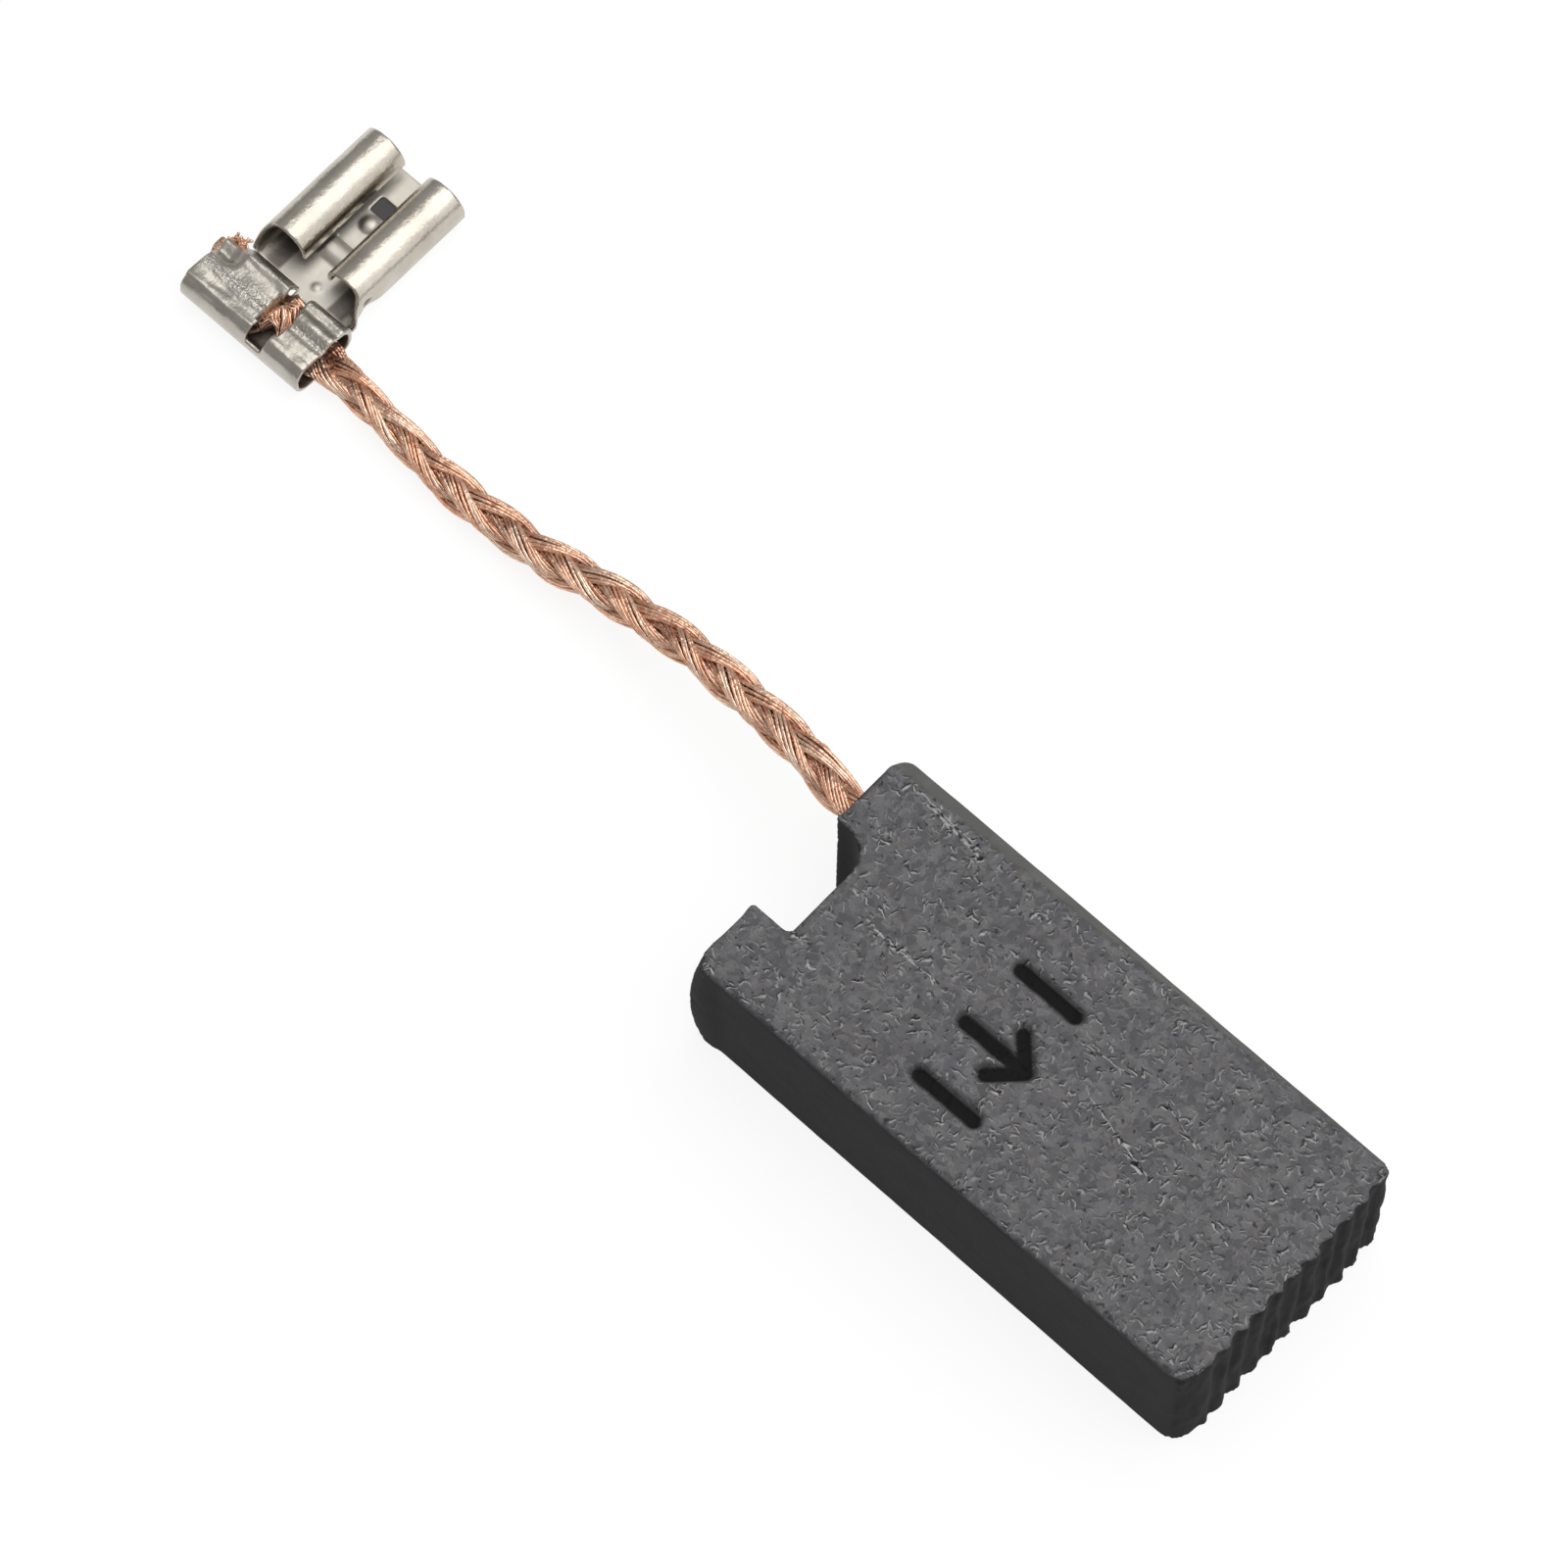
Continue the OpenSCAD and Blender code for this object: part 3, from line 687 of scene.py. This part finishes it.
class Surface:
    """A material under construction: a Principled shader and short ways to add nodes to it"""

    def __init__(self, name, **constants):
        self.material = bpy.data.materials.new(name)
        self.material.use_nodes = True
        self.tree = self.material.node_tree
        self.shader = self.tree.nodes["Principled BSDF"]
        for socket, value in constants.items():
            self.shader.inputs[socket.replace("_", " ")].default_value = value
        self.place = self.scaled(self.node("ShaderNodeTexCoord")["Object"], 1 / MM)

    def node(self, kind, inputs=None, **settings):
        made = self.tree.nodes.new(kind)
        for key, value in settings.items():
            setattr(made, key, value)
        for key, value in (inputs or {}).items():
            if isinstance(value, bpy.types.NodeSocket):
                self.tree.links.new(value, made.inputs[key])
            else:
                made.inputs[key].default_value = value
        return Outputs(made)

    def math(self, operation, a, b=0.0, clamp=False):
        return self.node("ShaderNodeMath", {0: a, 1: b}, operation=operation, use_clamp=clamp)[0]

    def vector(self, operation, a, b=(0, 0, 0), output="Vector"):
        return self.node("ShaderNodeVectorMath", {0: a, 1: b}, operation=operation)[output]

    def scaled(self, a, factor):
        return self.node("ShaderNodeVectorMath", {0: a, "Scale": factor}, operation="SCALE")[0]

    def ramp(self, value, low, high):
        """0 where the value is at low, 1 where it is at high"""
        limits = {0: value, 1: low, 2: high}
        return self.node("ShaderNodeMapRange", limits, interpolation_type="SMOOTHSTEP")[0]

    def noise(self, scale, detail=2.0, rough=0.5, warp=0.0):
        inputs = {"Vector": self.place, "Scale": scale, "Detail": detail, "Roughness": rough}
        return self.node("ShaderNodeTexNoise", {**inputs, "Distortion": warp})[0]

    def mix(self, amount, a, b):
        return self.node("ShaderNodeMix", {0: amount, 6: a, 7: b}, data_type="RGBA")[2]

    def lay(self, below, mask, amount, colour):
        """A colour laid over what is below it, by the given amount where the mask is 1"""
        return self.mix(self.math("MULTIPLY", mask, amount), below, colour)

    def warped(self, scale, amount):
        """The place, pushed about so that straight borders bend"""
        push = self.node("ShaderNodeTexNoise", {"Vector": self.place, "Scale": scale, "Detail": 1.0})[1]
        centred = self.vector("SUBTRACT", push, (0.5, 0.5, 0.5))
        return self.vector("ADD", self.place, self.scaled(centred, 2 * amount))

    def flakes(self, place, cells, long, wide, bare, layer):
        """1 on short strokes that lie in all directions, one in most of the cells of a plane"""
        moved = self.vector("ADD", place, (layer * FLAKE_STEP_X, layer * FLAKE_STEP_Y, 0))
        scaled = self.scaled(moved, cells)
        cell = self.node("ShaderNodeTexVoronoi", {"Vector": scaled, "Scale": 1.0}, voronoi_dimensions="2D")
        chosen = self.node("ShaderNodeSeparateColor", {0: cell["Color"]})
        local = self.vector("SUBTRACT", scaled, cell["Position"])
        spin = {"Vector": local, "Angle": self.math("MULTIPLY", chosen[0], 2 * math.pi)}
        turned = self.node("ShaderNodeVectorRotate", spin, rotation_type="Z_AXIS")[0]
        parts = self.node("ShaderNodeSeparateXYZ", {0: turned})
        along = self.ramp(self.math("ABSOLUTE", parts[0]), long, long * 0.5)
        across = self.ramp(self.math("ABSOLUTE", parts[1]), wide, wide * 0.35)
        picked = self.math("MULTIPLY", self.math("GREATER_THAN", chosen[1], bare), chosen[2])
        return self.math("MULTIPLY", self.math("MULTIPLY", along, across), picked)

    def patches(self, place, cells):
        """A tone for each cell of a net of angular patches"""
        return self.node("ShaderNodeTexVoronoi", {"Vector": place, "Scale": cells})["Color"]

    def scratch(self, place, start, end, half_width):
        """1 along a slightly wavering line between two points, as seen from above"""
        run = Vector((*end, 0)) - Vector((*start, 0))
        from_start = self.vector("MULTIPLY", self.vector("SUBTRACT", place, (*start, 0)), (1, 1, 0))
        along = self.vector("DOT_PRODUCT", from_start, tuple(run), output="Value")
        share = self.math("MULTIPLY", along, 1 / run.length_squared, clamp=True)
        nearest = self.scaled(tuple(run), share)
        away = self.vector("DISTANCE", from_start, nearest, output="Value")
        waver = self.math("MULTIPLY", self.noise(1.4, 2), 2 * SCRATCH_WAVER)
        off = self.math("SUBTRACT", away, self.math("SUBTRACT", waver, SCRATCH_WAVER))
        return self.ramp(self.math("ABSOLUTE", off), half_width, half_width * 0.3)

    def attribute(self, name):
        return self.node("ShaderNodeAttribute", attribute_name=name)["Fac"]

    def bump(self, height, depth, strength=1.0):
        inputs = {"Height": height, "Distance": depth * MM, "Strength": strength}
        return self.node("ShaderNodeBump", inputs)[0]

    def link(self, value, socket):
        self.tree.links.new(value, self.shader.inputs[socket])


class Outputs:
    """A node's outputs, by name or number"""

    def __init__(self, made):
        self.node = made

    def __getitem__(self, key):
        return self.node.outputs[key]


def copper():
    s = Surface("copper_wire", Metallic=0.85, Specular_Tint=(1.0, 0.72, 0.55, 1))
    tone = s.attribute("wire_tone")
    depth = s.attribute("wire_shade")
    stain = s.ramp(s.noise(0.9, 3), 0.4, 0.7)
    kinks = s.math("ADD", s.noise(1.6, 2, 0.6), s.math("MULTIPLY", s.noise(3.5, 1), 0.3))
    dashes = s.ramp(s.noise(1.9, 1), 0.45, 0.58)
    colour = s.mix(tone, (0.95, 0.54, 0.36, 1), (1.0, 0.82, 0.66, 1))
    colour = s.lay(colour, stain, 0.2, (0.75, 0.36, 0.22, 1))
    colour = s.lay(colour, dashes, 0.4, (0.50, 0.22, 0.13, 1))
    # Painted shade: the wires are darker the deeper they lie in the braid.
    colour = s.mix(depth, colour, (0.26, 0.105, 0.06, 1))
    s.link(colour, "Base Color")
    s.link(s.math("ADD", s.math("MULTIPLY", tone, 0.1), 0.2), "Roughness")
    s.link(s.bump(kinks, 0.16, 0.9), "Normal")
    return s.material


def tin():
    s = Surface("tinned_sheet", Metallic=1.0)
    crimped, inner, scuffs_and_glints, plate = map(s.attribute, ("crimped", "inner", "scuffs_and_glints", "plate"))
    cloud = s.ramp(s.noise(0.6, 4), 0.3, 0.7)
    stain = s.ramp(s.noise(1.3, 3, 0.6), 0.5, 0.75)
    painted_glints = s.ramp(s.noise(6.0, 2, 0.7), 0.5, 0.66)
    colour = s.mix(cloud, (0.51, 0.47, 0.405, 1), (0.60, 0.555, 0.485, 1))
    colour = s.lay(colour, stain, 0.25, (0.42, 0.38, 0.33, 1))
    colour = s.lay(colour, crimped, 0.3, (0.36, 0.35, 0.325, 1))
    # Painted glints: spots of near-white colour along the scuffed ridges.
    colour = s.lay(colour, s.math("MULTIPLY", scuffs_and_glints, painted_glints), 0.9, (0.95, 0.94, 0.91, 1))
    colour = s.lay(colour, plate, 0.6, (0.68, 0.65, 0.59, 1))
    # Painted shade: the sheet inside the rolls and the barrel is dark.
    colour = s.lay(colour, inner, 0.85, (0.17, 0.145, 0.13, 1))
    s.link(colour, "Base Color")
    rough = s.math("ADD", s.math("MULTIPLY", s.noise(3.0, 3), 0.14), 0.18)
    rough = s.math("ADD", rough, s.math("MULTIPLY", crimped, 0.08))
    rough = s.math("ADD", rough, s.math("MULTIPLY", plate, 0.22))
    s.link(s.math("ADD", rough, s.math("MULTIPLY", inner, 0.25)), "Roughness")
    hammered = s.math("MULTIPLY", s.noise(3.0, 3, 0.65), s.math("SUBTRACT", 1.25, plate))
    dented = s.math("MULTIPLY", s.math("MULTIPLY", s.noise(1.9, 2), crimped), 1.2)
    hammered = s.math("ADD", hammered, dented)
    gritty = s.math("MULTIPLY", s.noise(6.0, 2, 0.7), s.math("ADD", s.math("MULTIPLY", scuffs_and_glints, 5.0), 0.1))
    s.link(s.bump(s.math("ADD", hammered, gritty), 0.02, 0.9), "Normal")
    return s.material


# Scratches on the block's top: start, end and half width
SCRATCHES = [
    ((-11.5, -0.3), (-7.0, -0.3), 0.06),
    ((-14.9, 7.1), (-10.2, 6.75), 0.05),
    ((-14.3, 6.85), (-10.2, 6.45), 0.13),
    ((0.9, 2.4), (3.7, 2.7), 0.05),
    ((3.0, 0.4), (8.4, -0.9), 0.05),
    ((6.2, 2.9), (9.0, 2.0), 0.05),
]
SCRATCH_WAVER = 0.08
SCRATCH_BAND = 0.3

# Layers of flakes on the block's flat faces: cells a millimetre, half length and half width in cells,
# share of the cells that is bare, and strength
FLAKES = [
    (0.8, 0.34, 0.07, 0.15, 1.0),
    (1.15, 0.38, 0.085, 0.2, 1.0),
    (1.6, 0.40, 0.10, 0.3, 0.9),
    (2.3, 0.42, 0.13, 0.4, 0.75),
]


# How far apart two layers' parts of the net of cells lie
FLAKE_STEP_X, FLAKE_STEP_Y = 7.3, 3.1
# A flake's painted shade lies a little to one side of its painted highlight.
FLAKE_SHADE_OFFSET = (0.075, -0.065, 0)


def scratch_masks(s):
    """1 along the scratches, and 1 in wider bands about them, where there are more flakes"""
    shaken = s.warped(1.6, 0.12)
    lines, bands = 0.0, 0.0
    for start, end, half_width in SCRATCHES:
        lines = s.math("MAXIMUM", lines, s.scratch(shaken, start, end, half_width))
        bands = s.math("MAXIMUM", bands, s.scratch(s.place, start, end, half_width + SCRATCH_BAND))
    return lines, bands


def flaked_face(s, cloud, grain, rim):
    """Colour and relief of the flat faces: angular patches, flakes in all directions, each a painted
    highlight with painted shade beside it, pits and scratches, with painted shade in the pits and the
    gouges
    """
    bent = s.warped(2.1, 0.24)
    shade_place = s.vector("ADD", bent, FLAKE_SHADE_OFFSET)
    tint = s.ramp(s.noise(0.8, 2), 0.35, 0.65)
    patch = s.patches(bent, 2.1)
    swirl = s.noise(1.3, 3, 0.6, warp=1.2)
    colour = s.mix(tint, (0.142, 0.136, 0.138, 1), (0.130, 0.127, 0.139, 1))
    colour = s.lay(colour, s.ramp(cloud, 0.35, 0.65), 0.35, (0.165, 0.16, 0.163, 1))
    colour = s.lay(colour, s.ramp(patch, 0.5, 0.8), 0.45, (0.22, 0.215, 0.215, 1))
    colour = s.lay(colour, s.ramp(patch, 0.5, 0.2), 0.5, (0.075, 0.073, 0.078, 1))
    colour = s.lay(colour, s.ramp(swirl, 0.5, 0.62), 0.4, (0.095, 0.093, 0.1, 1))
    colour = s.lay(colour, s.ramp(swirl, 0.45, 0.33), 0.35, (0.2, 0.196, 0.196, 1))
    colour = s.lay(colour, s.ramp(grain, 0.35, 0.7), 0.22, (0.08, 0.078, 0.082, 1))

    # There are more flakes in some places, at the rim and by the scratches.
    lines, bands = scratch_masks(s)
    crowd = s.math("MAXIMUM", s.ramp(s.noise(0.6, 3), 0.42, 0.58), rim)
    crowd = s.math("ADD", s.math("MULTIPLY", crowd, 0.72), 0.28)
    crowd = s.math("ADD", crowd, s.math("MULTIPLY", bands, 1.2))
    relief = s.math("MULTIPLY", grain, 0.4)
    for number, (cells, long, wide, bare, strength) in enumerate(FLAKES):
        amount = s.math("MULTIPLY", crowd, strength)
        # Each flake is a painted highlight, with its painted shade a little to one side.
        flake_shade = s.math("MULTIPLY", s.flakes(shade_place, cells, long, wide * 1.2, bare, number), amount)
        flake_highlight = s.math("MULTIPLY", s.flakes(bent, cells, long * 0.9, wide, bare, number), amount)
        colour = s.mix(flake_shade, colour, (0.025, 0.024, 0.027, 1))
        colour = s.mix(flake_highlight, colour, (0.44, 0.435, 0.43, 1))
        relief = s.math("ADD", relief, s.math("SUBTRACT", flake_highlight, flake_shade))

    shaded_pits = s.ramp(s.noise(2.4, 2, 0.6), 0.63, 0.72)
    shaded_gouges = s.math("MULTIPLY", lines, s.ramp(s.noise(2.0, 2), 0.52, 0.58))
    bright = s.math("MULTIPLY", lines, s.ramp(s.noise(2.0, 2), 0.58, 0.48))
    # Painted shade in the pits.
    colour = s.lay(colour, shaded_pits, 0.8, (0.035, 0.034, 0.036, 1))
    # Painted shade in the scratches' gouges; their pale chips are wear.
    colour = s.lay(colour, shaded_gouges, 0.8, (0.025, 0.024, 0.025, 1))
    colour = s.lay(colour, bright, 0.7, (0.5, 0.5, 0.49, 1))
    return colour, s.math("SUBTRACT", s.math("SUBTRACT", relief, shaded_pits), shaded_gouges)


def plain_side(s, cloud, grain):
    """Colour of the smooth sides, darker than the top partly for their smoother finish and partly as
    painted shade, with paler edges, the grooved face painted darker still as shade, and a worn bevel
    """
    edge, grooved, bevel = map(s.attribute, ("edge", "grooved", "bevel"))
    # The sides are darker than the top: partly their smoother finish, partly painted shade.
    colour = s.mix(s.ramp(cloud, 0.3, 0.7), (0.058, 0.056, 0.060, 1), (0.074, 0.072, 0.076, 1))
    rubbed = s.math("MULTIPLY", edge, s.ramp(grain, 0.4, 0.6))
    colour = s.lay(colour, rubbed, 0.4, (0.12, 0.12, 0.12, 1))
    # Painted shade on the grooved face.
    colour = s.lay(colour, grooved, 0.7, (0.03, 0.0285, 0.03, 1))
    worn = s.mix(s.ramp(cloud, 0.35, 0.65), (0.122, 0.124, 0.114, 1), (0.150, 0.150, 0.141, 1))
    return s.mix(bevel, colour, worn)


def carbon():
    s = Surface("pressed_carbon", Specular_IOR_Level=0.06)
    flaky, pressed, rim = map(s.attribute, ("flaky", "pressed", "rim"))
    cloud = s.noise(0.45, 4)
    grain = s.noise(9.0, 3, 0.6)
    top, relief = flaked_face(s, cloud, grain, rim)
    colour = s.mix(flaky, plain_side(s, cloud, grain), top)
    # Painted shade: the pressed strokes are dark on their slopes and nearly black in their cores.
    colour = s.lay(colour, s.ramp(pressed, 0.1, 0.6), 0.55, (0.05, 0.048, 0.05, 1))
    colour = s.mix(s.ramp(pressed, 0.6, 1.0), colour, (0.012, 0.011, 0.011, 1))
    s.link(colour, "Base Color")
    rough = s.math("ADD", s.math("MULTIPLY", flaky, -0.1), s.math("MULTIPLY", cloud, 0.12))
    s.link(s.math("ADD", rough, 0.7), "Roughness")
    relief = s.math("MULTIPLY", relief, s.math("ADD", flaky, 0.12))
    s.link(s.bump(relief, 0.05, 0.8), "Normal")
    return s.material


def powder():
    s = Surface("tamped_powder")
    grain = s.noise(6.0, 3)
    s.link(s.mix(s.ramp(grain, 0.3, 0.7), (0.09, 0.05, 0.035, 1), (0.24, 0.13, 0.08, 1)), "Base Color")
    s.link(s.math("ADD", s.math("MULTIPLY", grain, 0.2), 0.6), "Roughness")
    s.link(s.bump(grain, 0.1), "Normal")
    return s.material


def wear(obj, material):
    obj.data.materials.clear()
    obj.data.materials.append(material)


# ---- Floor and light ----

FLOOR_SIZE = 3.0
FLOOR_Z = -0.02
# How much of the floor's white takes shadows; the rest glows, so that bare paper is white.
SHADOW_SHARE = 0.18
FLOOR_GLOW = 1.02 - 0.9 * SHADOW_SHARE
FLOOR_BOUNCE = (0.3, 0.3, 0.3, 1)
# The paper under the receptacle is painted darker, as if in its shade: middle and half size of the patch
SHADE_MIDDLE = (RECEPTACLE_X, 13.8, 0.0)
SHADE_HALF = (2.9, 4.2, 10.0)
SHADE_SOFTNESS = 0.5
SHADE_LIGHT = 0.08

# Softboxes: direction from the object, distance, width and height, and power
SOFTBOXES = {
    "top_softbox": ((0.1, 0.28, 0.95), 0.7, (0.75, 0.8), 3.15),
    "key_softbox": ((0.85, 0.2, 0.5), 0.7, (0.5, 0.5), 0.65),
}
# The room is dim near the horizon and brighter above.
ROOM_LEVELS = (0.28, 0.5)


def make_floor():
    half = FLOOR_SIZE / 2 / MM
    corners = [(-half, -half), (half, -half), (half, half), (-half, half)]
    floor = new_object("floor", [(x, y, FLOOR_Z) for x, y in corners], [(0, 1, 2, 3)])
    s = Surface("floor_paper")
    s.tree.nodes.remove(s.shader)
    output = s.tree.nodes["Material Output"]
    size = s.vector("ABSOLUTE", s.vector("SUBTRACT", s.place, SHADE_MIDDLE))
    past = s.node("ShaderNodeSeparateXYZ", {0: s.vector("SUBTRACT", size, SHADE_HALF)})
    light = s.ramp(s.math("MAXIMUM", past[0], past[1]), -SHADE_SOFTNESS, 0.0)
    light = s.math("ADD", s.math("MULTIPLY", light, 1 - SHADE_LIGHT), SHADE_LIGHT)

    path = s.node("ShaderNodeLightPath")
    seen = s.math("MAXIMUM", path["Is Camera Ray"], path["Is Glossy Ray"])
    seen = s.math("MAXIMUM", seen, path["Is Transmission Ray"])
    grey = s.math("MULTIPLY", light, SHADOW_SHARE)
    grey = s.node("ShaderNodeCombineColor", {0: grey, 1: grey, 2: grey})[0]
    lit = s.node("ShaderNodeBsdfDiffuse", {"Color": grey})[0]
    glow = s.node("ShaderNodeEmission", {"Strength": s.math("MULTIPLY", light, FLOOR_GLOW)})[0]
    bright = s.node("ShaderNodeAddShader", {0: lit, 1: glow})[0]
    bounce = s.node("ShaderNodeBsdfDiffuse", {"Color": FLOOR_BOUNCE})[0]
    shown = s.node("ShaderNodeMixShader", {0: seen, 1: bounce, 2: bright})[0]
    s.tree.links.new(shown, output.inputs["Surface"])
    wear(floor, s.material)


def add_softbox(name, direction, distance, size, power):
    """A flat rectangular lamp that faces the object from the given direction"""
    data = bpy.data.lights.new(name, "AREA")
    data.shape = "RECTANGLE"
    data.size, data.size_y = size
    data.energy = power
    lamp = bpy.data.objects.new(name, data)
    away = Vector(direction).normalized()
    lamp.location = VIEW_TARGET + distance * away
    lamp.rotation_euler = away.to_track_quat("Z", "Y").to_euler()
    bpy.context.scene.collection.objects.link(lamp)


def make_light():
    for name, box in SOFTBOXES.items():
        add_softbox(name, *box)
    world = bpy.data.worlds.new("studio")
    bpy.context.scene.world = world
    world.use_nodes = True
    tree = world.node_tree
    tree.nodes.clear()
    add = tree.nodes.new
    light_path, output = add("ShaderNodeLightPath"), add("ShaderNodeOutputWorld")
    room, white = add("ShaderNodeBackground"), add("ShaderNodeBackground")
    switch = add("ShaderNodeMixShader")
    room.inputs["Color"].default_value = (1, 1, 1, 1)
    heading, height, level = (
        add("ShaderNodeTexCoord"),
        add("ShaderNodeSeparateXYZ"),
        add("ShaderNodeMapRange"),
    )
    level.inputs["To Min"].default_value, level.inputs["To Max"].default_value = ROOM_LEVELS
    tree.links.new(heading.outputs["Generated"], height.inputs[0])
    tree.links.new(height.outputs["Z"], level.inputs["Value"])
    tree.links.new(level.outputs["Result"], room.inputs["Strength"])
    white.inputs["Color"].default_value = (1, 1, 1, 1)
    white.inputs["Strength"].default_value = 1.0
    tree.links.new(light_path.outputs["Is Camera Ray"], switch.inputs[0])
    tree.links.new(room.outputs[0], switch.inputs[1])
    tree.links.new(white.outputs[0], switch.inputs[2])
    tree.links.new(switch.outputs[0], output.inputs["Surface"])


# ---- The scene ----

make_camera()
lead, lead_line = make_lead()
block = make_block()
terminal = make_terminal()
cut_ends = make_cut_ends()
copper_wire = copper()
wear(lead, copper_wire)
wear(cut_ends, copper_wire)
wear(block, carbon())
wear(terminal, tin())
wear(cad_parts["tamping_plug"], powder())
make_floor()
make_light()
bpy.context.scene.view_settings.view_transform = "Standard"
